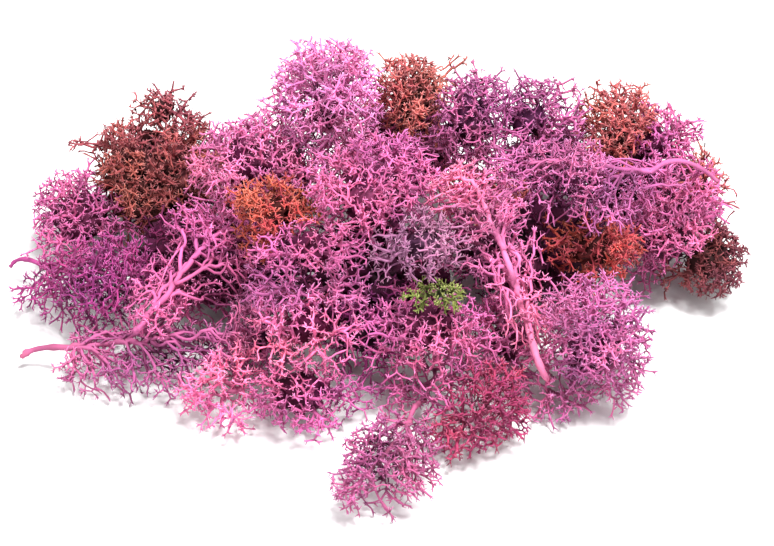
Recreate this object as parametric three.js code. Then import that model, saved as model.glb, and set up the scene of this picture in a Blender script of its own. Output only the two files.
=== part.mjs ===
// A clump of preserved reindeer lichen: a loose heap of dyed, dried tufts that lean on one another.
// Millimetres, +Z up. The origin is on the flat spot under the bed tuft in the middle of the heap.
// Each tuft is one closed solid: a matted hub, and stems that spring from its faces, fork as they go and
// end in sprays of three prongs.

import * as THREE from "three";
import { mergeVertices } from "three/addons/utils/BufferGeometryUtils.js";

// ---- Driving dimensions ----

const SEED = 65;
const SEED_STEP = 101; // from one tuft's random stream to the next
const TWIG_RADIUS = 0.55; // of the last twig of a stem, which carries one spray
const TRUNK_RADIUS = 1.3; // of a fan's bare stem, at its foot
const THICKENING = 0.22; // a stem that carries n sprays is n ** THICKENING times as thick as a twig
const PRONG_LENGTH = 2.8;
const PRONG_OPENING = 0.72; // radians between a prong and its twig
const SHORT_PRONG = 0.55; // of the full length, where a full prong would touch another tuft
const HUB_SHARE = 0.27; // size of the matted hub, as a share of its head
const REST_HUB_SHARE = 0.45; // the same for the hub that the whole clump rests on
const REST_HUB_DOWN = 1.15; // the same where that hub faces the surface, which cuts it off flat
const HUB_LUMPS = 0.12; // rise and fall of a hub's corners, as a share of its size
const HEAD_LUMPS = 0.13; // rise and fall of a head's outline, as a share of its size
const GAP = 0.35; // between one tuft and the next
const OWN_GAP = 0.12; // between two twigs of one tuft
const TOUCH_GAP = 0.3; // between a tuft's touching prong and the twig it leans on
const WIDEST_LEAN = 1.3; // radians between a twig and its touching prong
const WIDEST_TURN = 1.15; // radians between a stem and the stems it forks into
const WIDEST_ROOT = 0.5; // radians between a face of the hub and the stem that springs from it
const APART = 0.95; // clearance of two stems at the far end of their fork, as a share of their radii
const CLOSE = 0.7; // a gap that counts as a touch
const SHORTEST_LEAN = 1.7;
const FARTHEST_LEAN = 12;
const FOOT_HEIGHT = 2.4; // a tuft whose lowest point is under this stands on the surface
const FAN_ANGLE = 1.0; // radians either side of a fan's middle line, seen from its bare foot
const NEAR_END = 0.1; // of half a fan's length past its middle: up to here the sprays are on its bare stem
const FORK_REACH = [0.42, 0.6]; // how far on towards its sprays a stem forks: with many sprays, and with two
const SADDLE = 0.3; // height of the saddle in a fork, as a share of the stem's radius
const THIRD = (2 * Math.PI) / 3; // of a turn

// ---- Dyes ----

const DYES = {
  orchid: { color: "#b4639b", roughness: 0.8 },
  bright: { color: "#cf74ad", roughness: 0.78 },
  violet: { color: "#a3537f", roughness: 0.82 },
  pink: { color: "#c06e9a", roughness: 0.78 },
  magenta: { color: "#ad5881", roughness: 0.8 },
  salmon: { color: "#b3597c", roughness: 0.8 },
  wine: { color: "#7f3a5c", roughness: 0.84 },
  deep: { color: "#6d3454", roughness: 0.85 },
  grey: { color: "#9a6f94", roughness: 0.84 },
  rust: { color: "#88474a", roughness: 0.85 },
  dark_rust: { color: "#69333a", roughness: 0.86 },
  ember: { color: "#a04c4b", roughness: 0.84 },
  brown: { color: "#8a4a48", roughness: 0.85 },
  green: { color: "#7d8a3c", roughness: 0.82 },
};

// ---- The tufts: name, dye, middle of the head, half its size each way, number of sprays, bare foot ----
// A tuft with a bare foot is a fan: its bare stem runs from there along the head's length to the hub.

const TUFTS = [
  // the bed, which carries the rest and mostly hides under them
  tuft("bed_centre", "deep", [-3.4, 4.8, 11], [18, 15, 14], 30),
  tuft("bed_left", "deep", [-38.5, 19, 10], [19.5, 14, 13], 19),
  tuft("bed_right", "deep", [36, 14, 11], [18, 14, 14], 18),
  tuft("bed_far_right", "deep", [64, 38, 10], [14, 11, 12], 15),
  tuft("back_left", "violet", [-30, 43, 14], [15, 11, 15], 22),
  tuft("back_middle", "orchid", [4, 46, 16], [17, 11, 17], 23),
  tuft("back_right", "violet", [40, 46, 14], [18, 10, 15], 22),
  tuft("rust_mound", "rust", [-57, 38, 19], [18.5, 15, 18], 44),
  // round the edge, on the surface
  tuft("left_cloud", "violet", [-74, 30, 11], [13, 13, 12], 34),
  tuft("left_drape", "wine", [-69, 8, 8], [16, 11, 9], 54, [-91, 13, 4]),
  tuft("lower_left_fan", "violet", [-56, -13, 7], [24, 11, 8], 84, [-84, -13, 4]),
  tuft("left_middle", "violet", [-28, -10, 8], [8, 9, 7], 14),
  tuft("front_left_low", "salmon", [-38, -28, 6], [11, 8, 6.5], 22),
  tuft("front_net", "orchid", [-17, -31, 8], [13, 10, 8], 28),
  tuft("valley", "wine", [-5, -12, 11], [11, 9, 10], 26),
  tuft("front_edge", "orchid", [10, -21, 7], [14, 8, 7], 38),
  tuft("front_tuft", "violet", [0, -42.5, 7], [18, 10.5, 7], 72, [8.5, -29, 6]),
  tuft("front_tuft_red", "salmon", [22, -33.5, 6.5], [11.5, 9, 6.5], 33),
  tuft("right_middle", "orchid", [28, -14, 8], [10, 10, 8], 24),
  tuft("right_foot", "magenta", [40, -31, 4.5], [7, 4, 4], 20),
  tuft("right_front", "magenta", [49, -16, 14], [12, 11, 13], 36),
  tuft("far_right_rust", "dark_rust", [76, 13.5, 10], [9.5, 9.5, 10], 26),
  tuft("right_curtain", "orchid", [65.5, 17, 17], [11, 9.5, 14], 28),
  tuft("right_back_brown", "brown", [77.5, 36, 17], [7, 8, 11], 19),
  // the slopes
  tuft("mid_left_fan", "orchid", [-42, 3, 16], [21, 13, 12], 78, [-56, -19, 18]),
  tuft("salmon_head", "salmon", [-17.5, -20, 20], [10, 9, 9], 30),
  tuft("front_middle", "orchid", [8, -20, 19], [13, 9, 10], 30),
  tuft("red_head", "ember", [47, 3, 24], [9, 8, 8], 26),
  tuft("hollow_brown", "brown", [24, 24, 20], [9, 8, 9], 26),
  // the top
  tuft("rust_knob", "rust", [-53, 41, 34.5], [8, 6, 6], 24),
  tuft("upper_left_pink", "orchid", [-32, 21, 33], [13, 12, 12], 34),
  tuft("crown", "bright", [-15, 32, 45], [13, 13, 15], 43),
  tuft("brown_top", "brown", [7, 37, 40], [11, 9, 11], 26),
  tuft("top_right_near", "violet", [20, 32, 38], [11, 11, 12], 32),
  tuft("top_right_far", "violet", [38, 36, 36], [12, 10, 10], 30),
  tuft("rust_top_right", "rust", [54.5, 38, 32.5], [11, 9, 8], 26),
  tuft("right_top", "orchid", [67.5, 36, 29], [9, 9, 11], 26),
  tuft("right_stems", "magenta", [50, 11, 36], [24, 10, 8], 78, [81, 19, 32]),
  tuft("mid_purple", "violet", [-1, 3, 38], [14, 12, 11], 38),
  tuft("mid_purple_low", "orchid", [-14, -9, 34], [13, 7, 8], 38),
  tuft("mid_front_left", "magenta", [-14, -14, 28], [12, 8, 6], 34),
  tuft("ember_small", "ember", [-24.5, 0, 36], [8, 7, 9], 34),
  tuft("lacy_grey", "grey", [8, -10, 38], [9, 8, 7], 34),
  tuft("pink_stems", "pink", [22, -6, 30], [22, 12, 9], 72, [36, -25.5, 9]),
  tuft("green_wisp", "green", [12, -22, 31], [7, 3.5, 3], 14),
];

// One row of the table above. Its matrix toWorld takes the unit ball to the head, and toBall takes it back.
function tuft(name, dye, centre, half, sprays, foot = null) {
  const middle = new THREE.Vector3(...centre);
  const along = new THREE.Vector3(1, 0, 0);
  if (foot) along.subVectors(middle, new THREE.Vector3(...foot)).normalize();
  const across = new THREE.Vector3(0, 0, 1).cross(along).normalize();
  const up = along.clone().cross(across);
  const toWorld = new THREE.Matrix4().makeBasis(along, across, up);
  toWorld.scale(new THREE.Vector3(...half)).setPosition(middle);
  return {
    name,
    dye,
    middle,
    along,
    half,
    sprays,
    foot: foot && new THREE.Vector3(...foot),
    toWorld,
    toBall: toWorld.clone().invert(),
    hub: null,
    footStem: null,
  };
}

// ---- Seeded random draws ----

function randomStream(seed) {
  let state = seed;
  return () => {
    state = (state + 0x6d2b79f5) | 0;
    let mixed = Math.imul(state ^ (state >>> 15), 1 | state);
    mixed = (mixed + Math.imul(mixed ^ (mixed >>> 7), 61 | mixed)) ^ mixed;
    return ((mixed ^ (mixed >>> 14)) >>> 0) / 4294967296;
  };
}

function randomDirection(random) {
  const height = 2 * random() - 1;
  const turn = 2 * Math.PI * random();
  const flat = Math.sqrt(1 - height * height);
  return new THREE.Vector3(flat * Math.cos(turn), flat * Math.sin(turn), height);
}

// ---- Whose space a point is in ----

// 0 in the middle of the head, 1 on its surface.
function depthIn(owner, point) {
  return point.clone().applyMatrix4(owner.toBall).length();
}

function isOwnSpace(owner, point, margin) {
  const own = depthIn(owner, point) * margin;
  return TUFTS.every((other) => other === owner || own < depthIn(other, point));
}

const LUMP_WAVES = [3.1, 2.7, 4.3]; // radians from the middle of the unit ball to its surface, each way
const UPRIGHT_LUMP = 0.6; // height of the third wave, over that of the other two together

function lumpAt(direction, phase) {
  const [x, y, z] = direction.toArray().map((v, k) => Math.sin(LUMP_WAVES[k] * v + (k + 1) * phase));
  return x * y + UPRIGHT_LUMP * z;
}

// ---- Hub: the matted heart of a head, a lump of twenty faces from which the stems spring ----

const REST_TUFT = "bed_centre";
const LOWEST_HUB = 0.4;
const DOWNWARDS = -0.7; // of a direction of length 1
const HUB_STEP = 0.93; // brings a corner that is in another head's space nearer its own middle
const SMALLEST_HUB = 0.1;
const HUB_MARGIN = 1.1;

function hubOf(owner, phase) {
  const rests = owner.name === REST_TUFT;
  const geometry = new THREE.IcosahedronGeometry(1, rests ? 1 : 0);
  geometry.deleteAttribute("normal");
  geometry.deleteAttribute("uv");
  const ball = mergeVertices(geometry, 1e-4);
  const positions = ball.getAttribute("position");
  const corners = [];
  for (let i = 0; i < positions.count; i++) {
    const direction = new THREE.Vector3().fromBufferAttribute(positions, i);
    let depth = HUB_SHARE * (1 + HUB_LUMPS * lumpAt(direction, phase));
    if (rests) depth = direction.z < DOWNWARDS ? REST_HUB_DOWN : REST_HUB_SHARE;
    const corner = new THREE.Vector3();
    do {
      corner.copy(direction).multiplyScalar(depth).applyMatrix4(owner.toWorld);
      depth *= HUB_STEP;
      if (rests || depth < SMALLEST_HUB) break;
    } while (corner.z < LOWEST_HUB || !isOwnSpace(owner, corner, HUB_MARGIN));
    corner.z = Math.max(corner.z, rests ? 0 : LOWEST_HUB);
    corners.push(corner);
  }
  const index = ball.getIndex();
  const faces = [];
  for (let i = 0; i < index.count; i += 3) {
    const at = [0, 1, 2].map((k) => index.getX(i + k));
    const triangle = new THREE.Triangle(...at.map((k) => corners[k]));
    const middle = triangle.getMidpoint(new THREE.Vector3());
    const normal = triangle.getNormal(new THREE.Vector3());
    faces.push({ at, middle, normal, width: Math.sqrt(triangle.getArea()), sprays: [], stem: null });
  }
  return { corners, faces };
}

function faceTowards(hub, point) {
  const match = (face) => point.clone().sub(face.middle).normalize().dot(face.normal);
  return hub.faces.reduce((best, face) => (match(face) > match(best) ? face : best));
}

// ---- Sprays: where the ends of a tuft's stems go, spread as far from each other as they can be ----

const SPRAY_TRIES = 26;
const LOWEST_SPRAY = 1.1;
const SPRAY_MARGIN = 1.02;
const OUTER_SHARE = 0.85; // of the sprays, which are in the outer layer
const OUTER_LAYER = [0.9, 1]; // from the middle of the head, 0, to its outline, 1
const INNER_LAYER = [0.65, 0.9];

function randomSprayPoint(owner, phase, random) {
  const direction = randomDirection(random);
  const [inner, outer] = random() < OUTER_SHARE ? OUTER_LAYER : INNER_LAYER;
  const depth = THREE.MathUtils.lerp(inner, outer, random());
  const point = direction.clone().multiplyScalar(depth * (1 + HEAD_LUMPS * lumpAt(direction, phase)));
  point.applyMatrix4(owner.toWorld);
  if (point.z < LOWEST_SPRAY || !isOwnSpace(owner, point, SPRAY_MARGIN)) return null;
  if (owner.foot && point.clone().sub(owner.foot).angleTo(owner.along) > FAN_ANGLE) return null;
  return point;
}

function scatterSprays(owner, phase, random) {
  const found = [];
  for (let i = 0; i < owner.sprays; i++) {
    let best = null;
    let widest = -1;
    for (let j = 0; j < SPRAY_TRIES; j++) {
      const point = randomSprayPoint(owner, phase, random);
      if (!point) continue;
      const nearest = found.reduce((least, other) => Math.min(least, other.distanceTo(point)), Infinity);
      if (nearest <= widest) continue;
      best = point;
      widest = nearest;
    }
    if (best) found.push(best);
  }
  return found;
}

// ---- Clearance ----

const placed = []; // every stem, twig and prong so far: { line, radius, owner, middle, reach }
const HUB_ROOM = 1.25; // a hub's lumps and the flared roots on it, over its mean size
const ALONG_LINE = [0, 0.25, 0.5, 0.75, 1];

function isClear(line, radius, owner, springsFromHub = false, touched = null) {
  if (Math.min(line.start.z, line.end.z) < radius && !springsFromHub) return false;
  const reach = line.distance() / 2 + radius + GAP;
  const middle = line.getCenter(new THREE.Vector3());
  for (const other of placed) {
    if (middle.distanceTo(other.middle) > reach + other.reach) continue;
    const isSame = other.owner === owner;
    if (isSame && sharesEnd(line, other.line)) {
      if (distanceTo(other.line, line.end) < APART * (radius + other.radius)) return false;
      continue;
    }
    if (other.owner === touched) continue;
    const room = radius + other.radius + (isSame ? OWN_GAP : GAP);
    if (line.distanceSqToLine3(other.line) < room * room) return false;
  }
  const along = ALONG_LINE.map((share) => line.at(share, new THREE.Vector3()));
  return TUFTS.every((other) => {
    if (middle.distanceTo(other.middle) > reach + other.half[0]) return true;
    if (other === owner && springsFromHub) return true;
    return !along.some((point) => isInHub(other, point, radius + GAP));
  });
}

function distanceTo(line, point) {
  return line.closestPointToPoint(point, true, new THREE.Vector3()).distanceTo(point);
}

// Whether a point is in a tuft's hub, or within room of it.
function isInHub(owner, point, room) {
  const share = owner.name === REST_TUFT ? REST_HUB_SHARE : HUB_SHARE * HUB_ROOM;
  const inBall = point.clone().applyMatrix4(owner.toBall).toArray();
  const inHub = inBall.map((v, k) => (v * owner.half[k]) / (owner.half[k] * share + room));
  return Math.hypot(...inHub) < 1;
}

function sharesEnd(line, other) {
  return line.start.equals(other.start) || line.start.equals(other.end) || line.end.equals(other.start);
}

function place(line, radius, owner) {
  const middle = line.getCenter(new THREE.Vector3());
  placed.push({ line, radius, owner, middle, reach: line.distance() / 2 + radius });
}

// ---- Growth: a tree of nodes { at, radius, children }, in which a node with no children is a tip ----

const FORK_TRIES = 8;
const STRAY = 0.1; // of a stem's length, sideways, where it forks
const TWIG_STRAY = 0.04; // of a last twig's length
const MORE_STRAY = 0.6; // of the first stray, added at each further try
const SHORTEST_STEM = 2.4; // of its radius
const SHORTEST_TWIG = 1.5;
const FLARE = 0.3; // thickness of a stem's flared root, as a share of the width of its face
const FLARE_LENGTH = 0.4; // of the root stem
const TRUNK_JOINTS = [0.34, 0.6, 0.84]; // of the way from a bare foot to the hub
const TRUNK_STRAY = 0.8; // of its radius
const TRUNK_TAPER = 0.95; // from joint to joint
const SPRAY_BACK = 0.75; // of a prong, that a spray's twig stops short of the spray's own point
const PRONG_LENGTHS = [0.8, 1.2]; // of the mean length
const LOWEST_TIP = 0.1;
const AXIS_ROUNDS = 12;
const FIRST_AXIS = [1, 0.3, 0.6];
const FIRST_SIDE = [0.31, 0.73, 0.61];

function stemRadius(sprays) {
  return TWIG_RADIUS * sprays ** THICKENING;
}

function meanOf(points) {
  return points.reduce((sum, point) => sum.add(point), new THREE.Vector3()).divideScalar(points.length);
}

// Splits points into two halves, across the direction in which they spread widest.
function halve(points) {
  const middle = meanOf(points);
  const axis = new THREE.Vector3(...FIRST_AXIS);
  for (let i = 0; i < AXIS_ROUNDS; i++) {
    const next = new THREE.Vector3();
    for (const point of points) {
      const offset = point.clone().sub(middle);
      next.addScaledVector(offset, offset.dot(axis));
    }
    if (next.lengthSq() > 0) axis.copy(next.normalize());
  }
  const sorted = [...points].sort((a, b) => a.dot(axis) - b.dot(axis));
  const half = Math.ceil(points.length / 2);
  return [sorted.slice(0, half), sorted.slice(half)];
}

// The direction of goal, or as near to it as a turn of widest radians from heading comes.
function limitTurn(heading, goal, widest) {
  const angle = heading.angleTo(goal);
  if (angle <= widest) return goal.clone().normalize();
  return heading.clone().applyAxisAngle(heading.clone().cross(goal).normalize(), widest).normalize();
}

// A stem that carries these sprays. face is the face of the hub that it springs from, if it does.
function growStem(from, sprays, heading, owner, random, face = null) {
  const radius = stemRadius(sprays.length);
  const isLast = sprays.length === 1;
  const whole = meanOf(sprays).sub(from);
  const way = limitTurn(heading, whole, face ? WIDEST_ROOT : WIDEST_TURN);
  const share = THREE.MathUtils.lerp(FORK_REACH[0], FORK_REACH[1], 2 / Math.max(2, sprays.length));
  const length = isLast
    ? Math.max(whole.length() - SPRAY_BACK * PRONG_LENGTH, SHORTEST_TWIG)
    : Math.max(whole.length() * share, SHORTEST_STEM * radius);
  for (let i = 0; i < FORK_TRIES; i++) {
    const stray = (isLast ? TWIG_STRAY : STRAY) * length * (1 + MORE_STRAY * i);
    const at = from.clone().addScaledVector(way, length).addScaledVector(randomDirection(random), stray);
    const line = new THREE.Line3(from, at);
    if (!isClear(line, radius, owner, face !== null)) continue;
    place(line, radius, owner);
    if (face) placeFlare(line, face, owner);
    const onward = at.clone().sub(from).normalize();
    if (isLast) return { at, radius, children: growProngs(onward, at, owner, random) };
    const children = halve(sprays).map((part) => growStem(at, part, onward, owner, random));
    return { at, radius, children: children.filter((child) => child !== null) };
  }
  return null;
}

function placeFlare(line, face, owner) {
  const end = line.at(FLARE_LENGTH, new THREE.Vector3());
  place(new THREE.Line3(line.start, end), FLARE * face.width, owner);
}

function growProngs(forward, at, owner, random) {
  const side = forward.clone().cross(new THREE.Vector3(...FIRST_SIDE)).normalize();
  side.applyAxisAngle(forward, 2 * Math.PI * random());
  const prongs = [];
  for (let i = 0; i < 3; i++) {
    side.applyAxisAngle(forward, THIRD);
    const way = forward.clone().multiplyScalar(Math.cos(PRONG_OPENING));
    way.addScaledVector(side, Math.sin(PRONG_OPENING));
    const length = PRONG_LENGTH * THREE.MathUtils.lerp(...PRONG_LENGTHS, random());
    for (const share of [1, SHORT_PRONG]) {
      const tip = at.clone().addScaledVector(way, length * share);
      const line = new THREE.Line3(at, tip);
      if (tip.z < LOWEST_TIP || !isClear(line, TWIG_RADIUS / 2, owner)) continue;
      place(line, TWIG_RADIUS / 2, owner);
      prongs.push({ at: tip, radius: 0, children: [] });
      break;
    }
  }
  return prongs;
}

// The bare stem of a fan, from its foot to the hub, with a side stem at each joint.
function growTrunk(owner, sprays, random) {
  const { foot, along } = owner;
  const entry = owner.hub.entry;
  const points = TRUNK_JOINTS.map((share) => {
    const stray = randomDirection(random).multiplyScalar(TRUNK_STRAY * TRUNK_RADIUS);
    return foot.clone().lerp(entry.middle, share).add(stray);
  });
  points.push(entry.middle);
  points.forEach((point, i) => place(new THREE.Line3(i ? points[i - 1] : foot, point), TRUNK_RADIUS, owner));
  const sorted = [...sprays].sort((a, b) => a.dot(along) - b.dot(along));
  const size = Math.ceil(sorted.length / TRUNK_JOINTS.length);
  let node = { at: entry.middle, radius: TRUNK_RADIUS, children: [], hub: owner.hub };
  for (let i = TRUNK_JOINTS.length - 1; i >= 0; i--) {
    const group = sorted.slice(i * size, (i + 1) * size);
    const side = group.length ? growStem(points[i], group, along, owner, random) : null;
    const radius = TRUNK_RADIUS * TRUNK_TAPER ** i;
    node = { at: points[i], radius, children: side ? [side, node] : [node] };
  }
  return node;
}

function growTuft(owner, index) {
  const random = randomStream(SEED + SEED_STEP * index);
  const phase = 2 * Math.PI * random();
  owner.hub = hubOf(owner, phase);
  const sprays = scatterSprays(owner, phase, random);
  const isNear = (point) => owner.foot && point.clone().applyMatrix4(owner.toBall).x < NEAR_END;
  if (owner.foot) {
    owner.hub.entry = faceTowards(owner.hub, owner.foot);
    owner.footStem = growTrunk(owner, sprays.filter(isNear), random);
  }
  for (const spray of sprays) {
    const face = faceTowards(owner.hub, spray);
    if (!isNear(spray) && face !== owner.hub.entry) face.sprays.push(spray);
  }
  for (const face of owner.hub.faces) {
    if (!face.sprays.length || face.middle.z === 0) continue;
    face.stem = growStem(face.middle, face.sprays, face.normal, owner, random, face);
  }
}

// ---- Touch: where a group of tufts would stand clear of the rest, a prong reaches out to its neighbour ----

function joinUp() {
  const groups = new Map(TUFTS.map((owner) => [owner, owner]));
  const groupOf = (owner) => (groups.get(owner) === owner ? owner : groupOf(groups.get(owner)));
  const join = (one, two) => groups.set(groupOf(one), groupOf(two));
  const leans = [];
  for (const owner of TUFTS) {
    const stems = [...owner.hub.faces.map((face) => face.stem), owner.footStem].filter((stem) => stem);
    for (const { node, forward } of stems.flatMap((stem) => spraysOf(stem, null))) {
      for (const other of placed) {
        if (other.owner === owner || node.at.distanceTo(other.middle) > other.reach + FARTHEST_LEAN) continue;
        const gaps = [node, ...node.children].map((end) => gapBetween(end, other));
        if (Math.min(...gaps) < CLOSE) join(owner, other.owner);
        const point = other.line.closestPointToPoint(node.at, true, new THREE.Vector3());
        const distance = point.distanceTo(node.at);
        if (distance < SHORTEST_LEAN || point.clone().sub(node.at).angleTo(forward) > WIDEST_LEAN) continue;
        leans.push({ owner, node, other, point, distance });
      }
    }
  }
  leans.sort((a, b) => a.distance - b.distance);
  for (const { owner, node, other, point } of leans) {
    if (groupOf(owner) === groupOf(other.owner)) continue;
    const way = point.clone().sub(node.at).normalize();
    const tip = point.clone().addScaledVector(way, -(other.radius / 2 + TOUCH_GAP));
    if (!isClear(new THREE.Line3(node.at, tip), 0, owner, false, other.owner)) continue;
    leanTo(node, tip);
    join(owner, other.owner);
  }
}

function gapBetween(end, other) {
  return distanceTo(other.line, end.at) - (end.radius + other.radius) / 2;
}

// Turns the nearest prong of a spray to a new tip.
function leanTo(spray, tip) {
  const [closest] = [...spray.children].sort((a, b) => a.at.distanceTo(tip) - b.at.distanceTo(tip));
  if (closest) closest.at.copy(tip);
  else spray.children.push({ at: tip, radius: 0, children: [] });
}

function spraysOf(node, from) {
  if (node.hub) return [];
  const isSpray = node.children.every((child) => child.children.length === 0 && !child.hub);
  if (isSpray) return from ? [{ node, forward: node.at.clone().sub(from).normalize() }] : [];
  return node.children.flatMap((child) => spraysOf(child, node.at));
}

// ---- Skin: three-sided tubes, whose end triangle is cut in two or three where the stem forks ----

const NEARLY_UPRIGHT = 0.9; // of a direction of length 1
const ONWARD = 0.5; // how far the end of a stem turns towards the stems that it forks into

class Skin {
  points = [];
  faces = [];

  add(point) {
    return this.points.push(point) - 1;
  }

  // The sides between two triangles, corner k to corner k. The side after corner skipped is left open.
  join(base, ring, skipped = null) {
    const [points, faces] = [this.points, this.faces];
    for (let k = 0; k < 3; k++) {
      if (k === skipped) continue;
      const next = (k + 1) % 3;
      const [a, b, c, d] = [base[k], base[next], ring[next], ring[k]];
      const isShort = points[a].distanceTo(points[c]) < points[b].distanceTo(points[d]);
      if (isShort) faces.push([a, b, c], [a, c, d]);
      else faces.push([a, b, d], [b, c, d]);
    }
  }

  geometry() {
    const geometry = new THREE.BufferGeometry().setFromPoints(this.points);
    return geometry.setIndex(this.faces.flat());
  }
}

function skinTuft(owner) {
  const skin = new Skin();
  if (!owner.footStem) {
    skinHub(skin, owner.hub, null);
    return skin.geometry();
  }
  const { foot, footStem } = owner;
  const [side, other] = sidesOf(footStem.at.clone().sub(foot).normalize());
  const base = ringAt(skin, foot, side, other, footStem.radius, 0);
  skin.faces.push([base[0], base[2], base[1]]);
  sweep(skin, base, footStem);
  return skin.geometry();
}

// The hub's faces, each carrying its stem if it has one. base is the end of a fan's bare stem.
function skinHub(skin, hub, base) {
  const corners = hub.corners.map((corner) => skin.add(corner));
  for (const face of hub.faces) {
    const triangle = face.at.map((k) => corners[k]);
    if (base && face === hub.entry) skin.join(base, nearestTurn(skin, base, triangle.toReversed()));
    else if (face.stem) sweep(skin, triangle, face.stem);
    else skin.faces.push(triangle);
  }
}

// The turn of a triangle's corners that brings them nearest to the corners of base.
function nearestTurn(skin, base, triangle) {
  const [first, second, third] = triangle;
  const turns = [triangle, [second, third, first], [third, first, second]];
  const gap = (corner, k) => skin.points[corner].distanceTo(skin.points[base[k]]);
  const spread = (turn) => turn.map(gap).reduce((sum, distance) => sum + distance);
  return turns.reduce((best, turn) => (spread(turn) < spread(best) ? turn : best));
}

function sidesOf(forward) {
  const away = Math.abs(forward.z) < NEARLY_UPRIGHT ? new THREE.Vector3(0, 0, 1) : new THREE.Vector3(1, 0, 0);
  const side = forward.clone().cross(away).normalize();
  return [side, forward.clone().cross(side)];
}

function ringAt(skin, at, side, other, radius, turn) {
  return [0, 1, 2].map((k) => {
    const angle = turn + k * THIRD;
    const corner = at.clone().addScaledVector(side, radius * Math.cos(angle));
    return skin.add(corner.addScaledVector(other, radius * Math.sin(angle)));
  });
}

// Grows the skin on from the triangle base, whose corners run anticlockwise as seen from the node.
function sweep(skin, base, node) {
  if (node.hub) {
    skinHub(skin, node.hub, base);
    return;
  }
  if (!node.children.length) {
    const tip = skin.add(node.at);
    base.forEach((corner, k) => skin.faces.push([corner, base[(k + 1) % 3], tip]));
    return;
  }
  const corners = base.map((i) => skin.points[i]);
  const start = meanOf(corners);
  const ways = node.children.map((child) => child.at.clone().sub(node.at));
  const forward = node.at.clone().sub(start).normalize();
  for (const way of ways) forward.addScaledVector(way.clone().normalize(), ONWARD / ways.length);
  const [side, other] = sidesOf(forward.normalize());
  const angleOf = (vector) => Math.atan2(vector.dot(other), vector.dot(side));
  const turns = corners.map((corner, k) => angleOf(corner.clone().sub(start)) - k * THIRD);
  let turn = meanAngle(turns, 2 * Math.PI);
  let cut = null;
  if (ways.length === 2) {
    const apart = angleOf(ways[0].clone().sub(ways[1]));
    const twists = [0, 1, 2].map((k) => wrap(apart - turn - (k + 1.25) * THIRD, Math.PI));
    cut = twists.reduce((best, twist, k) => (Math.abs(twist) < Math.abs(twists[best]) ? k : best), 0);
    turn += twists[cut];
  } else if (ways.length === 3) {
    turn += meanAngle(ways.map((way) => angleOf(way) - turn - THIRD / 2), THIRD);
  }
  const ring = ringAt(skin, node.at, side, other, node.radius, turn);
  skin.join(base, ring, cut);
  if (ways.length === 1) sweep(skin, ring, node.children[0]);
  else if (ways.length === 2) forkInTwo(skin, base, ring, cut, node, forward);
  else forkInThree(skin, ring, node, forward, ways.map((way) => modulo(angleOf(way) - turn, 2 * Math.PI)));
}

function forkInTwo(skin, base, ring, cut, node, forward) {
  const next = (cut + 1) % 3;
  const [a, b, c] = [ring[cut], ring[next], ring[(cut + 2) % 3]];
  const saddle = skin.points[a].clone().lerp(skin.points[b], 0.5);
  const middle = skin.add(saddle.addScaledVector(forward, SADDLE * node.radius));
  skin.faces.push([base[cut], base[next], middle], [base[next], b, middle], [base[cut], middle, a]);
  const across = skin.points[b].clone().sub(skin.points[a]);
  const [onA, onB] = [...node.children].sort((one, two) => one.at.dot(across) - two.at.dot(across));
  sweep(skin, [a, middle, c], onA);
  sweep(skin, [middle, b, c], onB);
}

function forkInThree(skin, ring, node, forward, angles) {
  const middle = skin.add(node.at.clone().addScaledVector(forward, 2 * SADDLE * node.radius));
  const order = [0, 1, 2].sort((one, two) => angles[one] - angles[two]);
  order.forEach((child, k) => sweep(skin, [ring[k], ring[(k + 1) % 3], middle], node.children[child]));
}

function modulo(value, period) {
  return ((value % period) + period) % period;
}

function wrap(value, period) {
  return modulo(value + period / 2, period) - period / 2;
}

function meanAngle(angles, period) {
  const scale = (2 * Math.PI) / period;
  const x = angles.reduce((sum, angle) => sum + Math.cos(angle * scale), 0);
  const y = angles.reduce((sum, angle) => sum + Math.sin(angle * scale), 0);
  return Math.atan2(y, x) / scale;
}

// ---- Meshes ----

// Brings the lowest point of a tuft that lies on the surface down to it.
function standOnSurface(geometry) {
  const positions = geometry.getAttribute("position");
  let lowest = 0;
  for (let i = 1; i < positions.count; i++) {
    if (positions.getZ(i) < positions.getZ(lowest)) lowest = i;
  }
  if (positions.getZ(lowest) < FOOT_HEIGHT) positions.setZ(lowest, 0);
}

function meshOf(owner) {
  const geometry = skinTuft(owner);
  standOnSurface(geometry);
  geometry.computeVertexNormals();
  const mesh = new THREE.Mesh(geometry, new THREE.MeshStandardMaterial({ ...DYES[owner.dye], metalness: 0 }));
  mesh.name = owner.name;
  return mesh;
}

const clump = new THREE.Group();
TUFTS.forEach(growTuft);
joinUp();
for (const owner of TUFTS) clump.add(meshOf(owner));

export default clump;
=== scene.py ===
# Reindeer moss clump: dyed, preserved reindeer lichen, a loose heap of tufts that cling to one another.
# Metres, +Z up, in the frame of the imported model. Every tuft stands for the CAD node of its name.

import math

import bmesh
import bpy
import numpy as np
from mathutils import Matrix, Vector, kdtree


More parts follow.
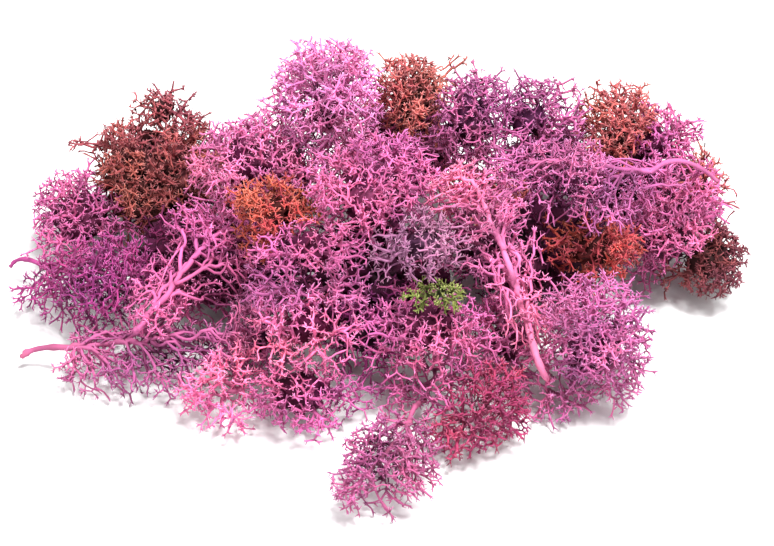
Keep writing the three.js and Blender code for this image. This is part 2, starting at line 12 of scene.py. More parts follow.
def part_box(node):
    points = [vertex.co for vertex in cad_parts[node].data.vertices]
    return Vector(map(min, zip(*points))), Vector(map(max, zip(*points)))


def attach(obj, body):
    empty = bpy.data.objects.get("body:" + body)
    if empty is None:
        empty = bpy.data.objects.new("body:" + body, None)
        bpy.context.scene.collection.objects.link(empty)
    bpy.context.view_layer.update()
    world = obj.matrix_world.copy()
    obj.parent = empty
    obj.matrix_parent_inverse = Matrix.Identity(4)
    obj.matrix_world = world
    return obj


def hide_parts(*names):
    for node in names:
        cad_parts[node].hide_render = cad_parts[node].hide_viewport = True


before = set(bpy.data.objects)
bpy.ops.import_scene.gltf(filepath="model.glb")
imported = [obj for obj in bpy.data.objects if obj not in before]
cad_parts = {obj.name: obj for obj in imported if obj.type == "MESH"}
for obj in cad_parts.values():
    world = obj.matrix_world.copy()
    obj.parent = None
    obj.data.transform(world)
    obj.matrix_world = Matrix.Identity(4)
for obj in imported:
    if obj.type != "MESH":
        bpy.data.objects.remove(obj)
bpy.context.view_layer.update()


# ---- Table, light and camera ----
# The clump lies on a pale matt table under a large soft lamp, with a weaker one from the other side.
# The camera looks down on it from the front, as one looks at something on a table.

TABLE_SIDE = 4.0
CAMERA_AIM = Vector((0, 0, 0.018))
CAMERA_DISTANCE = 0.42
CAMERA_TILT = math.radians(42)
CAMERA_LENS = 84.93

table_mesh = bpy.data.meshes.new("table")
table_bm = bmesh.new()
bmesh.ops.create_grid(table_bm, x_segments=1, y_segments=1, size=TABLE_SIDE / 2)
table_bm.to_mesh(table_mesh)
table_bm.free()
table = bpy.data.objects.new("table", table_mesh)
bpy.context.scene.collection.objects.link(table)
table_paint = bpy.data.materials.new("table_paint")
table_paint.use_nodes = True
table_shader = table_paint.node_tree.nodes["Principled BSDF"]
table_shader.inputs["Base Color"].default_value = (0.8, 0.8, 0.8, 1)
table_shader.inputs["Roughness"].default_value = 0.9
table_shader.inputs["Specular IOR Level"].default_value = 0.1
table_mesh.materials.append(table_paint)

world = bpy.data.worlds.new("studio")
world.use_nodes = True
world.node_tree.nodes["Background"].inputs["Color"].default_value = (1, 1, 1, 1)
world.node_tree.nodes["Background"].inputs["Strength"].default_value = 0.5
bpy.context.scene.world = world
bpy.context.scene.view_settings.view_transform = "Standard"


def soft_lamp(name, place, width, power):
    light = bpy.data.lights.new(name, "AREA")
    light.shape = "DISK"
    light.size = width
    light.energy = power
    lamp = bpy.data.objects.new(name, light)
    lamp.location = Vector(place)
    lamp.rotation_euler = (CAMERA_AIM - lamp.location).to_track_quat("-Z", "Y").to_euler()
    bpy.context.scene.collection.objects.link(lamp)


soft_lamp("window_lamp", place=(0.22, -0.08, 0.95), width=0.3, power=19.3)
soft_lamp("fill_lamp", place=(-0.5, -0.7, 0.6), width=0.6, power=4.4)

camera_data = bpy.data.cameras.new("camera")
camera_data.lens = CAMERA_LENS
camera_data.clip_start = 0.01
camera = bpy.data.objects.new("camera", camera_data)
camera_back = Vector((0, -math.cos(CAMERA_TILT), math.sin(CAMERA_TILT)))
camera.location = CAMERA_AIM + CAMERA_DISTANCE * camera_back
camera.rotation_euler = (-camera_back).to_track_quat("-Z", "Y").to_euler()
bpy.context.scene.collection.objects.link(camera)
bpy.context.scene.camera = camera


# ---- The bed: four dark tufts underneath ----
# A tuft is one plant, which forks again and again from a broken stem to its pronged ends. It fills the room
# of its CAD node, and its outer twigs reach in among its neighbours', which is all that holds the heap
# together. The lichen is soaked in dye and glycerine. The bed's tufts are coloured near black, as painted
# shade for the hollows under the heap, and mostly hide.

MM = 0.001

corner_places = []
corner_owners = []
for node_name, node in sorted(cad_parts.items()):
    places = np.unique(np.array([corner.co for corner in node.data.vertices]).round(6), axis=0)
    corner_places.extend(places)
    corner_owners.extend([node_name] * len(places))
corner_places = np.array(corner_places)
corner_owners = np.array(corner_owners)
cad_corners = kdtree.KDTree(len(corner_places))
for i, place in enumerate(corner_places):
    cad_corners.insert(place, i)
cad_corners.balance()

# First, where the ends of a tuft's twigs are.
END_TRIES = 16000
GAP_TRY = 3  # every third try may fill a gap between tufts
NEAR_CORNERS = 8  # one of the corners that are nearest to an end is its own tuft's
LOWEST_END = 0.7 * MM
AROUND_CAD = 3.4 * MM  # how far an end is from a corner of the CAD solid, at most
ACROSS_GAP = 5.8 * MM  # the same where it fills a gap
GAP_WIDTH = 7.5 * MM
GAP_BELOW_TOP = 2.5 * MM
OUTSIDE_CAD = 1.4 * MM  # how far an end is outside the CAD solid's box, unless it fills a gap
MINGLE = 1.3 * MM  # how far ends of one tuft reach into another's room
SHELL = 0.58  # the ends lie outside this share of the way from the heart of a tuft to its sides
OUTLINE = 1.16  # and inside this share, give or take its lobes
LOBES = 0.08
LOBE_WAVES = 3.2  # how fast one lobe follows another
HIDDEN = 1.5  # ends that other tufts hide from all sides are further apart, by this share
DOWN = 0.4  # ends that point further down than this, as a share of their way out,
UNDERNEATH = 1.6  # are this many times as far apart
BACK = 0.3  # and so are those that point further to the back than this
BEHIND = 1.3
LOOKS = [Vector((0, 0, 1))]
LOOKS += [Vector((math.cos(turn), math.sin(turn), 0.6)).normalized() for turn in np.arange(6) * math.pi / 3]
LOOK_REACHES = (4.5 * MM, 9 * MM)  # places on each line of sight
LOOK_WIDTH = 2.6 * MM  # another tuft hides an end if it is this near to one of those places
CLEAR = 0.7  # a fan's ends keep under this share of the lift of its main stems
FAN_REACH = 4.4 * MM  # how far an end of a fan is from its CAD solid
FAN_FLARE = 0.4  # the less it is, the sooner a fan spreads from its foot
FAN_FILL = 0.15  # a fan's ends reach back to this share of the way from its foot to its far side


def head_of(node_name, root, bare):
    """The middle and half the size of the bushy part of a tuft."""
    own = corner_places[corner_owners == node_name]
    own = own[np.linalg.norm(own - root, axis=1) > bare]
    low, high = np.percentile(own, (1, 99), axis=0)
    return (low + high) / 2, (high - low) / 2


def hidden_share(point, node_name):
    """The share of the ways to look at a point on which another tuft is in front of it."""
    hidden = 0
    for look in LOOKS:
        for reach in LOOK_REACHES:
            _, nearest, distance = cad_corners.find(point + reach * look)
            if distance < LOOK_WIDTH and corner_owners[nearest] != node_name:
                hidden += 1
                break
    return hidden / len(LOOKS)


def spread_ends(node_name, spacing, root, bare, shell, reach, unseen, lean, lift, is_fan, random):
    """Ends for a tuft: near the corners of its CAD solid, in no other tuft's room, and evenly spaced."""
    own = corner_places[corner_owners == node_name]
    own = own[np.linalg.norm(own - root, axis=1) > bare]
    centre, half = head_of(node_name, root, bare)
    box_low, box_high = (np.array(corner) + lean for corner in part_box(node_name))
    own = own + lean
    centre = centre + lean
    offsets = random.normal(size=(END_TRIES, 3))
    across = ACROSS_GAP * min(1, reach / AROUND_CAD)
    reaches = np.where(np.arange(END_TRIES) % GAP_TRY, reach, across) * random.random(END_TRIES) ** (1 / 3)
    offsets *= (reaches / np.linalg.norm(offsets, axis=1))[:, None]
    tries = own[random.integers(len(own), size=END_TRIES)] + offsets
    farthest = reach + np.linalg.norm(lean)
    is_wide = is_fan or reach > AROUND_CAD
    if is_fan:
        farthest += max(0, FAN_REACH - reach)
        axis = (centre - root) / np.linalg.norm(centre - root)
        shares = random.uniform(FAN_FILL, 1, size=(END_TRIES // 2, 1))
        lengthwise = ((tries[::2] - root) @ axis)[:, None] * axis
        tries[::2] = root + lengthwise * shares + (tries[::2] - root - lengthwise) * shares**FAN_FLARE
        upper = np.array((0, 0, 1)) - axis * axis[2]
        fan_length = np.max((own - root) @ axis)
    waves = random.normal(size=(3, 3)) * LOBE_WAVES
    kept = np.empty((0, 3))
    for point in tries:
        outward = (point - centre) / half
        depth = np.linalg.norm(outward)
        if point[2] < LOWEST_END or depth < shell or np.linalg.norm(point - root) < bare:
            continue
        if len(kept) and np.min(np.sum((kept - point) ** 2, axis=1)) < spacing**2:
            continue
        near = cad_corners.find_n(point, NEAR_CORNERS)
        own_distances = [distance for _, i, distance in near if corner_owners[i] == node_name]
        if not own_distances or own_distances[0] > near[0][2] + MINGLE:
            continue
        outside = max(np.max(box_low - point), np.max(point - box_high))
        if own_distances[0] > farthest or (outside > OUTSIDE_CAD and not is_wide):
            neighbours = cad_corners.find_range(point, GAP_WIDTH)
            too_high = point[2] > box_high[2] - GAP_BELOW_TOP
            if too_high or all(corner_owners[i] == node_name for _, i, _ in neighbours):
                continue
        elif not is_wide:
            lobe = np.sum(np.sin(waves @ (outward / depth) + np.arange(3)))
            if depth > OUTLINE + LOBES * lobe:
                continue
        if is_fan:
            along, above = (point - root) @ axis, (point - root) @ upper
            if along < lift * fan_length and above > CLEAR * lift * half[2]:
                continue
        room = spacing * (1 + unseen * hidden_share(Vector(point), node_name) ** 2)
        if outward[2] < -DOWN * depth:
            room *= UNDERNEATH
        if outward[1] - outward[2] > BACK * depth:
            room *= BEHIND
        if len(kept) and np.min(np.sum((kept - point) ** 2, axis=1)) < room**2:
            continue
        kept = np.vstack([kept, point])
    return kept


# Then the stems, from the root to those ends.
PRONG_RADIUS = 0.2 * MM
THICKENING = 0.225  # a stem that carries n ends is n ** THICKENING times as thick as a prong
END_BACK = 0.8 * MM  # a last stem stops this far short of its end, for its prongs
END_REACH = 0.5  # but goes this share of the way
FORK_REACH = (0.33, 0.62)  # how far on a stem forks: with many ends, and with two
MANY_ENDS = 300
FEWEST_ON_TRUNK = 50  # a fan's stem with more ends than this sends out side stems
NEAR_SHARE = 0.36  # of a fan's ends, those from which a side stem's are taken
SIDE_SCATTER = 0.35  # how much side stems turn out of the plane of the fan
FEWEST_ON_SIDE = 3
SIDE_SLANT = 1.2  # of a side stem to the stem it leaves
SIDE_REACH = (0.06, 0.5)  # the least and the most that a stem goes before its next side stem
SHORTEST_STEM = 2.2  # times its radius
ABOVE_TABLE = 0.1 * MM
WIDENING = 0.75  # how much wider than straight a stem leaves its fork
WAVE = 0.23  # bend of a stem, as a share of its length
STEP_LENGTH = 2.1 * MM  # from ring to ring, and half of it on a thick stem
MOST_STEPS = 12
KNOBS = 0.1  # unevenness of a thick stem's radius
FORK_SWELL = 1.1
TWIG_SWELL = 1.25
FEWEST_UNEVEN = 5  # a fork of more ends than this is uneven
UNEVENNESS = 0.3
TONE_STEP = 0.35  # how much a spray differs in tone from the stem it grows on
SPRAY_ENDS = (6, 60)


class Stem:
    """A stem from one fork to the next: rings of (middle, direction, radius), and the stems it carries."""

    def __init__(self, rings, tone):
        self.rings = rings
        self.tone = tone
        self.carries = []


def side_group(start, direct, ends, side, random):
    """Which of a fan's ends the next side stem takes: near ones, on one side of the stem it leaves."""
    along = (ends - start) @ direct
    outwards = np.cross(direct, (0, 0, side)) + random.normal(size=3) * SIDE_SCATTER
    outwards -= direct * outwards.dot(direct)
    return (along < np.quantile(along, NEAR_SHARE)) & ((ends - start) @ outwards > 0)


def fork_group(ends, random):
    """Which ends the first stem of a fork takes: about half of them, at one end of the spray."""
    count = len(ends)
    offsets = ends - ends.mean(axis=0)
    axis = np.linalg.eigh(offsets.T @ offsets)[1][:, 2]
    cut = count // 2
    if count > FEWEST_UNEVEN:
        cut += round((random.random() - 0.5) * UNEVENNESS * count)
    taken = np.zeros(count, dtype=bool)
    taken[np.argsort(offsets @ axis)[:cut]] = True
    return taken


def grow(start, heading, ends, side, lift, thickening, tone, random):
    """A stem that leaves start on its way to its ends, and forks until each end has a stem of its own.
    In a fan, side is 1 or -1, the side on which its next side stem leaves, and in a head it is 0."""
    count = len(ends)
    is_thick = count > FEWEST_ON_TRUNK
    whole = ends.mean(axis=0) - start
    if side and is_thick:
        whole[2] += lift
    span = np.linalg.norm(whole) + 1e-9
    direct = whole / span
    taken = np.zeros(count, dtype=bool)
    if side and is_thick:
        taken = side_group(start, direct, ends, side, random)
    has_side_stem = np.sum(taken) >= FEWEST_ON_SIDE
    if count == 1:
        length = max(span - END_BACK, END_REACH * span)
    elif has_side_stem:
        slant = ends[taken].mean(axis=0) - start
        forward = slant.dot(direct)
        sideways = np.linalg.norm(slant - forward * direct)
        length = min(max(forward - SIDE_SLANT * sideways, SIDE_REACH[0] * span), SIDE_REACH[1] * span)
    else:
        share = min(1, math.log(count / 2) / math.log(MANY_ENDS / 2))
        length = span * (FORK_REACH[1] + (FORK_REACH[0] - FORK_REACH[1]) * share)
    radius = PRONG_RADIUS * count**thickening
    length = max(length, SHORTEST_STEM * radius)
    leaving = direct + WIDENING * (direct - heading * direct.dot(heading))
    leaving /= np.linalg.norm(leaving)
    end = start + direct * length
    control = start + leaving * length * 0.5 + random.normal(size=3) * WAVE * length
    end[2] = max(end[2], radius + ABOVE_TABLE)
    control[2] = max(control[2], radius + ABOVE_TABLE)
    step_length = STEP_LENGTH / 2 if is_thick else STEP_LENGTH
    steps = 1 + min(MOST_STEPS, int(length / step_length))
    rings = []
    for k in range(1, steps + 1):
        t = k / steps
        place = (1 - t) ** 2 * start + 2 * t * (1 - t) * control + t**2 * end
        way = (1 - t) * (control - start) + t * (end - control)
        swell = (FORK_SWELL if count > 1 else TWIG_SWELL) if k == steps else 1
        if is_thick:
            swell *= 1 + KNOBS * random.normal()
        rings.append((Vector(place), Vector(way).normalized(), radius * swell))
    stem = Stem(rings, tone)
    if count > 1:
        if not has_side_stem:
            taken = fork_group(ends, random)
        onward = np.array(rings[-1][1])
        for part in (ends[taken], ends[~taken]):
            part_tone = tone
            if SPRAY_ENDS[0] < len(part) < SPRAY_ENDS[1]:
                part_tone += random.normal() * TONE_STEP
            stem.carries.append(grow(end, onward, part, -side, lift, thickening, part_tone, random))
    return stem


# Last, the mesh on those stems, with the blunt prongs at their ends and, in a dense head, a dark core that
# is painted shade.
ROOT_SIDES = 8
BROKEN_END = 0.6  # radius of the stub at the root, as a share of its stem's
THICK_STEM = 0.5 * MM
TRUNK_SIDES = 7
SADDLE = 0.5  # rise of the skin between two stems at their fork, in radii
PRONG_TIP = 0.45  # radius of a prong's blunt tip, as a share
PRONG_LENGTHS = (0.6 * MM, 1.25 * MM)
PRONG_OPENING = math.radians(42)
OPENINGS = (0.6, 1.3)  # of single prongs, as a share of that angle
PRONG_TURN = 0.3  # how much a prong's tip turns to the way of its twig
LARGE_HEAD = 15 * MM
CORE_FINENESS = (3, 4)  # subdivisions, in a small and a large head
CORE_ROUGHNESS = 0.4
CORE_ABOVE_TABLE = 0.4 * MM
CORE_AGE = 0.7
# Depth given to the core's corners, low so that the core takes the dark heart colour: painted shade.
CORE_SHADE_DEPTH = 0.7


def seat_ring(corners, middle, along, radius):
    """Puts the corners of an end face on a circle round its stem, turned as little as they can be."""
    centre = sum((corner.co for corner in corners), Vector()) / len(corners)
    side = along.orthogonal().normalized()
    other = along.cross(side)
    step = 2 * math.pi / len(corners)
    x = y = 0
    for i, corner in enumerate(corners):
        arm = corner.co - centre
        turn = math.atan2(arm.dot(other), arm.dot(side)) - i * step
        x += math.cos(turn)
        y += math.sin(turn)
    first = math.atan2(y, x)
    for i, corner in enumerate(corners):
        turn = first + i * step
        corner.co = middle + radius * (math.cos(turn) * side + math.sin(turn) * other)


def part_face(bm, face, across, along, rise):
    """Cuts the end face of a stem in two for a fork, and returns the half that lies behind across first."""
    corners = list(face.verts)
    count = len(corners)

    def misfit(i):
        if count == 3:
            far = (corners[(i + 1) % 3].co + corners[(i + 2) % 3].co) / 2
        else:
            far = corners[(i + count // 2) % count].co
        cut = far - corners[i].co
        return abs(cut.dot(across)) / cut.length

    near = min(range(count), key=misfit)
    if count == 3:
        edge = bm.edges.get((corners[(near + 1) % 3], corners[(near + 2) % 3]))
        far = bmesh.utils.edge_split(edge, edge.verts[0], 0.5)[1]
    else:
        far = corners[(near + count // 2) % count]
    other = bmesh.utils.face_split(face, corners[near], far)[0]
    if rise:
        edge = bm.edges.get((corners[near], far))
        saddle = bmesh.utils.edge_split(edge, edge.verts[0], 0.5)[1]
        saddle.co += along * rise
    return sorted((face, other), key=lambda half: half.calc_center_median().dot(across))


def fork_end(bm, cap, stem):
    """Starts the two stems that a stem carries on the halves of its end face."""
    _, along, radius = stem.rings[-1]
    first, second = stem.carries
    across = second.rings[0][0] - first.rings[0][0]
    across -= across.dot(along) * along
    rise = SADDLE * radius if first.carries or second.carries else 0
    starts = []
    for half_cap, carried in zip(part_face(bm, cap, across, along, rise), (first, second)):
        while carried.rings[0][2] > THICK_STEM and len(half_cap.verts) < TRUNK_SIDES:
            edge = max(half_cap.edges, key=lambda edge: edge.calc_length())
            bmesh.utils.edge_split(edge, edge.verts[0], 0.5)
        starts.append((half_cap, carried, 0))
    return starts


def prong_ends(bm, ending, label, random):
    """Starts two to four prongs on the end face of each twig that ends."""
    facets = []
    for i, (cap, _) in enumerate(ending):
        cap[label] = i
        if len(cap.verts) > 3:
            facets += [cap, bmesh.utils.face_split(cap, cap.verts[0], cap.verts[2])[0]]
    whole_caps = [cap for cap, _ in ending if cap not in facets]
    facets += bmesh.ops.poke(bm, faces=whole_caps)["faces"]
    starts = []
    for facet in facets:
        _, stem = ending[facet[label]]
        middle, along, _ = stem.rings[-1]
        side = facet.calc_center_median() - middle
        side = (side - side.dot(along) * along).normalized()
        opening = PRONG_OPENING * random.uniform(*OPENINGS)
        way = math.cos(opening) * along + math.sin(opening) * side
        length = random.uniform(*PRONG_LENGTHS)
        tip = middle + length * way
        tip.z = max(tip.z, PRONG_RADIUS)
        prong = (tip, (way + PRONG_TURN * along).normalized(), PRONG_RADIUS * PRONG_TIP)
        starts.append((facet, Stem([prong], stem.tone), 0))
    return starts


def skin(root, heading, radius, trunk, heart, half, shade_core_share, name, random):
    """Grows the mesh of a tuft from a stub at its root, all its stems a ring at a time.
    Its corners carry their age (low on thick stems), their tone, and how far out of the heart they are."""
    bm = bmesh.new()
    layers = bm.verts.layers.float
    age_layer, tone_layer, depth_layer = (layers.new(word) for word in ("age", "tone", "depth"))
    label = bm.faces.layers.int.new("tip")
    turn = Vector(heading).to_track_quat("Z", "Y").to_matrix().to_4x4()
    bmesh.ops.create_cone(
        bm,
        cap_ends=True,
        cap_tris=False,
        segments=ROOT_SIDES,
        radius1=radius * BROKEN_END,
        radius2=radius,
        depth=radius,
        matrix=Matrix.Translation(root) @ turn,
    )
    top = max(bm.faces, key=lambda face: face.normal.dot(Vector(heading)))
    tips = [(top, trunk, 0)]
    heart = Vector(heart)
    while tips:
        for i, (face, _, _) in enumerate(tips):
            face[label] = i
        caps = bmesh.ops.extrude_discrete_faces(bm, faces=[tip[0] for tip in tips])["faces"]
        following = []
        ending = []
        for cap in caps:
            _, stem, k = tips[cap[label]]
            middle, along, ring_radius = stem.rings[k]
            seat_ring(cap.verts, middle, along, ring_radius)
            # How far out of the heart a ring is: the material paints shade on the rings deep inside.
            arm = middle - heart
            depth = Vector((arm[0] / half[0], arm[1] / half[1], arm[2] / half[2])).length
            for corner in cap.verts:
                corner[age_layer] = min(2, PRONG_RADIUS / ring_radius)
                corner[tone_layer] = stem.tone
                corner[depth_layer] = depth
            if k + 1 < len(stem.rings):
                following.append((cap, stem, k + 1))
            elif stem.carries:
                following += fork_end(bm, cap, stem)
            elif ring_radius > PRONG_RADIUS:
                ending.append((cap, stem))
        if ending:
            following += prong_ends(bm, ending, label, random)
        tips = following
    # A lumpy dark core in the heart of the head: painted shade between the twigs deep inside.
    if shade_core_share:
        turn = Matrix.Rotation(random.uniform(0, math.tau), 4, Vector(random.normal(size=3)))
        fineness = CORE_FINENESS[max(half) > LARGE_HEAD]
        for corner in bmesh.ops.create_icosphere(bm, subdivisions=fineness, radius=1, matrix=turn)["verts"]:
            swell = shade_core_share * random.uniform(1 - CORE_ROUGHNESS, 1 + CORE_ROUGHNESS)
            corner.co = heart + swell * Vector(corner.co[k] * half[k] for k in range(3))
            corner.co.z = max(corner.co.z, CORE_ABOVE_TABLE)
            corner[age_layer] = CORE_AGE
            corner[depth_layer] = CORE_SHADE_DEPTH * swell
    bm.faces.layers.int.remove(label)
    mesh = bpy.data.meshes.new(name)
    bm.to_mesh(mesh)
    bm.free()
    mesh.shade_smooth()
    return mesh


HEART_SHADE_DEPTHS = (0.35, 0.95)  # over which the heart's painted shade gives way to the twigs' colour
STEM_AGES = (0.55, 0.12)  # the twigs' to the thick stems'
TIP_AGES = (0.9, 2.0)  # and to the tips'
TONES = (-1.2, 1.2)
TONE_HUES = (0.488, 0.507)
TONE_VALUES = (0.75, 1.25)
DYE_PATCHES = 50  # scale of the patches where the dye's hue drifts
DYE_BLOTCHES = 160  # and of the blotches where it took more or less
FELT_GRAIN = 5200
PATCH_NOISE, PATCH_HUES = (0.38, 0.62), (0.494, 0.51)
BLOTCH_NOISE, BLOTCH_VALUES = (0.35, 0.65), (0.82, 1.15)
GRAIN_NOISE, FELT_ROUGHNESS = (0.3, 0.7), (0.72, 0.92)
MOTTLE_SATURATION = 1.12


def dye_group():
    """The dyed felt of the lichen: paler on thick stems and mottled, with painted shade that darkens it in
    the heart of a tuft.
    """
    group = bpy.data.node_groups.new("dyed_felt_and_shade", "ShaderNodeTree")
    for name in ("HeartShade", "Twigs", "Tips", "Stems"):
        group.interface.new_socket(name, in_out="INPUT", socket_type="NodeSocketColor")
    group.interface.new_socket("Color", in_out="OUTPUT", socket_type="NodeSocketColor")
    group.interface.new_socket("Roughness", in_out="OUTPUT", socket_type="NodeSocketFloat")
    group.interface.new_socket("Height", in_out="OUTPUT", socket_type="NodeSocketFloat")
    nodes, links = group.nodes, group.links
    given = nodes.new("NodeGroupInput")
    result = nodes.new("NodeGroupOutput")
    place = nodes.new("ShaderNodeTexCoord")

    def attribute(name):
        node = nodes.new("ShaderNodeAttribute")
        node.attribute_name = name
        return node.outputs["Fac"]

    def between(value, limits, results=(0, 1)):
        node = nodes.new("ShaderNodeMapRange")
        node.interpolation_type = "SMOOTHSTEP"
        for socket, number in zip(node.inputs[1:5], (*limits, *results)):
            socket.default_value = number
        links.new(value, node.inputs["Value"])
        return node.outputs["Result"]

    def mix(factor, first, second):
        node = nodes.new("ShaderNodeMix")
        node.data_type = "RGBA"
        links.new(factor, node.inputs["Factor"])
        links.new(first, node.inputs["A"])
        links.new(second, node.inputs["B"])
        return node.outputs["Result"]

    def noise(scale, detail):
        node = nodes.new("ShaderNodeTexNoise")
        node.inputs["Scale"].default_value = scale
        node.inputs["Detail"].default_value = detail
        links.new(place.outputs["Object"], node.inputs["Vector"])
        return node.outputs["Fac"]

    age, tone, depth = attribute("age"), attribute("tone"), attribute("depth")
    # Painted shade: deep in a tuft the twigs take the dark heart colour, standing for the shade among them.
    colour = mix(between(depth, HEART_SHADE_DEPTHS), given.outputs["HeartShade"], given.outputs["Twigs"])
    colour = mix(between(age, STEM_AGES), colour, given.outputs["Stems"])
    colour = mix(between(age, TIP_AGES), colour, given.outputs["Tips"])
    shade = nodes.new("ShaderNodeHueSaturation")
    links.new(between(tone, TONES, TONE_HUES), shade.inputs["Hue"])
    links.new(between(tone, TONES, TONE_VALUES), shade.inputs["Value"])
    links.new(colour, shade.inputs["Color"])
    mottle = nodes.new("ShaderNodeHueSaturation")
    mottle.inputs["Saturation"].default_value = MOTTLE_SATURATION
    links.new(between(noise(DYE_PATCHES, detail=1), PATCH_NOISE, PATCH_HUES), mottle.inputs["Hue"])
    links.new(between(noise(DYE_BLOTCHES, detail=3), BLOTCH_NOISE, BLOTCH_VALUES), mottle.inputs["Value"])
    links.new(shade.outputs["Color"], mottle.inputs["Color"])
    grain = noise(FELT_GRAIN, detail=2)
    links.new(mottle.outputs["Color"], result.inputs["Color"])
    links.new(between(grain, GRAIN_NOISE, FELT_ROUGHNESS), result.inputs["Roughness"])
    links.new(grain, result.inputs["Height"])
    return group


DYED_FELT_AND_SHADE = dye_group()


def dyed(name, heart, twigs, tips, stems):
    """A dye of the lichen, from the web colours of a tuft's heart, which is painted shade, and of its twigs,
    tips and thick stems.
    """
    material = bpy.data.materials.new(name)
    material.use_nodes = True
    nodes, links = material.node_tree.nodes, material.node_tree.links
    shader = nodes["Principled BSDF"]
    felt = nodes.new("ShaderNodeGroup")
    felt.node_tree = DYED_FELT_AND_SHADE
    for word, web in (("HeartShade", heart), ("Twigs", twigs), ("Tips", tips), ("Stems", stems)):
        parts = [int(web[i : i + 2], 16) / 255 for i in (1, 3, 5)]
        linear = [((part + 0.055) / 1.055) ** 2.4 for part in parts]
        felt.inputs[word].default_value = (*linear, 1)
    bump = nodes.new("ShaderNodeBump")
    bump.inputs["Strength"].default_value = 0.35
    bump.inputs["Distance"].default_value = 0.05 * MM
    links.new(felt.outputs["Color"], shader.inputs["Base Color"])
    links.new(felt.outputs["Roughness"], shader.inputs["Roughness"])
    links.new(felt.outputs["Height"], bump.inputs["Height"])
    links.new(bump.outputs["Normal"], shader.inputs["Normal"])
    shader.inputs["Specular IOR Level"].default_value = 0.3
    return material


FIRST_SEED = 1000
LOWEST_ROOT = 2 * MM


def make_tuft(
    node_name,
    dye,
    root=(0, 0.2, -0.5),  # of a head: where it grows from, in shares of the way from its middle to its sides
    foot=None,  # of a fan: the place of the broken end of its stem
    bare=8,  # of a fan: how far from its foot the first ends are
    spacing=1.5,  # from end to end
    reach=None,  # how far ends are from the CAD solid's corners, if not AROUND_CAD
    shell=SHELL,
    unseen=HIDDEN,
    core=0,  # size of the dark core, painted shade deep in the head, as a share of the head's
    lean=(0, 0, 0),  # how far the head leans out of its CAD node's room
    lift=0.7,  # of a fan: rise of its main stems, in shares of half its height
    thickening=THICKENING,
):
    """One tuft, a round head or a fan, with its places and lengths in millimetres."""
    random = np.random.default_rng(FIRST_SEED + sorted(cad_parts).index(node_name))
    is_fan = foot is not None
    lean = np.array(lean) * MM
    centre, half = head_of(node_name, np.zeros(3), 0)
    start = np.array(foot) * MM if is_fan else centre + lean + np.array(root) * half
    start[2] = max(start[2], LOWEST_ROOT)
    bare = bare * MM if is_fan else 0
    centre, half = head_of(node_name, start, bare)
    centre = centre + lean
    reach = AROUND_CAD if reach is None else reach * MM
    shell = 0 if is_fan else shell
    ends = spread_ends(
        node_name, spacing * MM, start, bare, shell, reach, unseen, lean, lift, is_fan, random
    )
    heading = ends.mean(axis=0) - start
    heading /= np.linalg.norm(heading)
    trunk = grow(start, heading, ends, 1 if is_fan else 0, lift * half[2], thickening, 0.0, random)
    radius = PRONG_RADIUS * len(ends) ** thickening
    name = node_name + "_lichen"
    mesh = skin(start, heading, radius, trunk, centre, half, core, name, random)
    piece = bpy.data.objects.new(name, mesh)
    bpy.context.scene.collection.objects.link(piece)
    mesh.materials.append(dye)
    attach(piece, "root")
    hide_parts(node_name)


# The bed's very dark colours are painted shade for the hollows under the heap.
bed_shade = dyed("lichen_bed_shade", "#180510", "#5c2444", "#6c3454", "#60304c")
for name in ("bed_centre", "bed_right", "bed_far_right"):
    make_tuft(name, bed_shade, spacing=2.4, reach=7, shell=0.5, unseen=0.2, core=0.85)
make_tuft("bed_left", bed_shade, spacing=2.4, reach=7, shell=0.5, unseen=0.2, core=0.9, lean=(-2, -6, 0))


# ---- The back row: three tufts that stand on the table behind the heap ----
# Purple heads on edge, packed against the bed. They carry the crown and the other tufts of the top.

orchid = dyed("lichen_orchid", "#481432", "#ca729e", "#da8eba", "#b2668c")
violet = dyed("lichen_violet", "#3c1230", "#ae648a", "#c684ac", "#a8627e")
make_tuft("back_left", violet, spacing=1.6, core=0.6)
make_tuft("back_middle", orchid, spacing=1.6, unseen=0.6, core=0.6)
make_tuft("back_right", violet, spacing=1.6, core=0.6)


# ---- Rust tufts at the left: the mound and the knob on it ----
# Two heads that took a red-brown dye, the small one pressed into the top of the large one.

rust = dyed("lichen_rust", "#280a0c", "#985456", "#b27678", "#a25c5e")
make_tuft("rust_mound", rust, spacing=1.32, core=0.65, lean=(0.8, -1, -3.5))
make_tuft("rust_knob", rust, spacing=1.35, shell=0.2, core=0.55, lean=(-0.2, 0, -1.2))


# ---- Left side: a round head, three fans, and the tuft between them ----
# The fans were torn off at the foot, which is left bare. Their stems run side by side and then spread. Two
# lie with their feet outwards, and one lies on top of them with its foot to the front.

wine = dyed("lichen_wine", "#300c24", "#9a4a7a", "#b26c9a", "#a45680")
make_tuft("left_cloud", orchid, reach=3.3, core=0.5, lean=(0.3, -0.5, -1))
make_tuft(
    "left_drape", wine, foot=(-91, 17, 5), spacing=1.52, reach=7, unseen=0.5,
    lean=(1.8, -6, 0), lift=0.25, thickening=0.15
)
make_tuft(
    "lower_left_fan", violet, foot=(-84, -13, 4), bare=12, spacing=1.57, reach=6.5, unseen=0.3,
    lean=(4, -2.5, 0), lift=0.9, thickening=0.19
)
make_tuft(
    "mid_left_fan", orchid, foot=(-56, -19, 18), bare=3, spacing=1.57, reach=6, unseen=0.2,
    lean=(-2, -3, 0), lift=0.6, thickening=0.185
)
make_tuft("left_middle", violet, reach=5, core=0.45, lean=(-3, 0, 0))


# ---- Front edge: flat tufts that lie on the table ----
# Small heads and nets of lichen round the foot of the heap, and one fan that lies out in front of it.

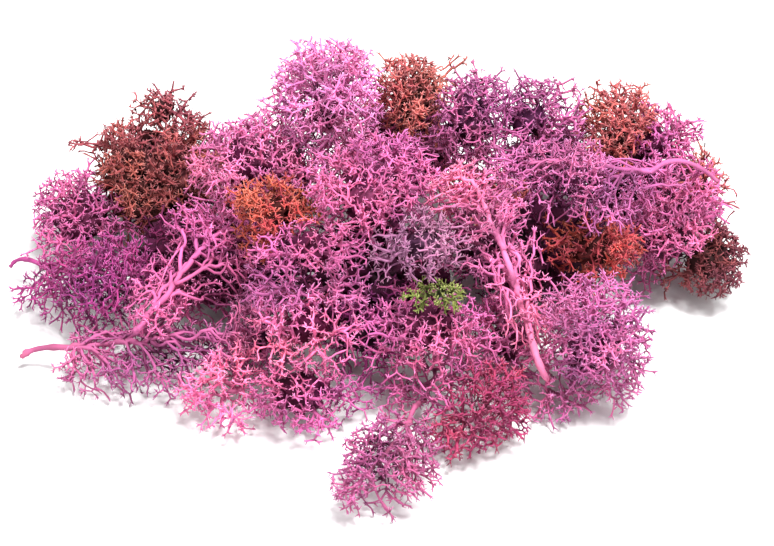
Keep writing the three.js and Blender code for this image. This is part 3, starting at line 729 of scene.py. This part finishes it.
salmon = dyed("lichen_salmon", "#521634", "#ee88b0", "#f6a6ca", "#ec8eb0")
magenta = dyed("lichen_magenta", "#441230", "#bc6e98", "#cc8cb8", "#b46c92")
crimson = dyed("lichen_crimson", "#300c1a", "#a24c6c", "#b6708c", "#a85a74")
make_tuft("front_left_low", salmon, reach=3.8, lean=(8, 1.5, 0))
make_tuft("front_net", orchid, core=0.45, lean=(-1, 2.2, 0))
make_tuft("valley", wine, core=0.45)
make_tuft("front_edge", orchid, reach=4, lean=(1, -1.5, 0))
make_tuft(
    "front_tuft", violet, foot=(8.5, -29, 6), bare=2, spacing=1.48, reach=1.6,
    lean=(2.6, -5.8, 0), lift=0.3, thickening=0.18
)
make_tuft("front_tuft_red", crimson, spacing=1.42, reach=4.5, lean=(-0.5, 1, 0))
make_tuft("right_middle", orchid, reach=4, core=0.45, lean=(0, 0.5, 0.5))
make_tuft("right_foot", magenta, reach=3.5, lean=(-2, 7, 0))
make_tuft("right_front", magenta, reach=3.6, core=0.55, lean=(-3.3, -4.5, 0))


# ---- Right side: a hanging curtain of lichen between two red-brown heads ----
# The curtain hangs down to the table. One head stands in front of it, and one leans on it from behind.

dark_rust = dyed("lichen_dark_rust", "#240a0c", "#764248", "#945860", "#864c54")
brown = dyed("lichen_brown", "#34100f", "#ba6c6a", "#ca8e8c", "#be7672")
make_tuft("far_right_rust", dark_rust, spacing=1.3, core=0.55, lean=(1.2, 0.6, -0.3))
make_tuft("right_curtain", orchid, reach=3.8, core=0.55, lean=(2, 0, 0.5))
make_tuft("right_back_brown", brown, core=0.5, lean=(-2, -3, -2.5))


# ---- The slopes: heads that lean on the bed ----
# Each leans on the tufts under it, held by nothing but its own twigs.

ember = dyed("lichen_ember", "#38100e", "#b45e58", "#ca8078", "#c07064")
make_tuft("salmon_head", salmon, core=0.45)
make_tuft("front_middle", orchid, core=0.55)
make_tuft("mid_front_left", magenta)
make_tuft("red_head", ember, spacing=1.2, reach=2.4, core=0.5)
make_tuft("hollow_brown", brown, spacing=1.3, core=0.55)


# ---- The top: the crown and the heads round it ----
# Heads with their twigs up. The crown is the highest and took the brightest dye.

pink = dyed("lichen_pink", "#4c1832", "#da80a6", "#e69ec0", "#d080a0")
bright = dyed("lichen_bright", "#5c2448", "#e08cbc", "#ecaad2", "#de92b8")
grey = dyed("lichen_grey", "#3c1e34", "#a4708e", "#b88ca4", "#b47c98")
make_tuft(
    "crown", bright, root=(0.55, -0.45, -0.6), spacing=1.35, reach=3.6, shell=0.35, core=0.3,
    lean=(0.8, 0, -5)
)
make_tuft("upper_left_pink", pink, core=0.5, lean=(0.8, 0, 0.8))
make_tuft("ember_small", ember, spacing=1.2, reach=2.2, core=0.4)
make_tuft("mid_purple", orchid, reach=3.6, core=0.55, lean=(-1.2, 0, 0.2))
make_tuft("mid_purple_low", orchid, core=0.45)
make_tuft("lacy_grey", grey, core=0.45, lean=(1, -1.5, 0))
make_tuft("brown_top", brown, spacing=1.28, reach=3.3, core=0.5, lean=(0.5, 0, 1))
make_tuft("top_right_near", violet, core=0.5, lean=(-0.2, 0, -0.4))
make_tuft("top_right_far", violet, core=0.4, lean=(-4.5, 0, -0.6))
make_tuft("rust_top_right", brown, spacing=1.28, reach=3.7, core=0.5, lean=(3, 0, -4.5))
make_tuft("right_top", orchid, reach=2.6, core=0.4, lean=(-4.2, 0, -1))


# ---- Two fans on top, with long bare stems ----
# One lies with its foot at the front edge and spreads up the slope. The other lies along the top at the
# right, with its foot outwards.

make_tuft("pink_stems", pink, foot=(36, -25.5, 9), spacing=1.6, reach=5, lean=(-1, -0.5, 0), thickening=0.21)
make_tuft("right_stems", magenta, foot=(77, 19, 30), bare=10, spacing=1.6, lift=0.6, thickening=0.165)


# ---- The green wisp ----
# A curl of lichen in another dye, caught in the fork of the tufts below the grey head.

green = dyed("lichen_green", "#18200c", "#727c46", "#a4ac70", "#8c9460")
make_tuft("green_wisp", green, spacing=1.1, reach=1.5, shell=0, lean=(1, -1, 0))
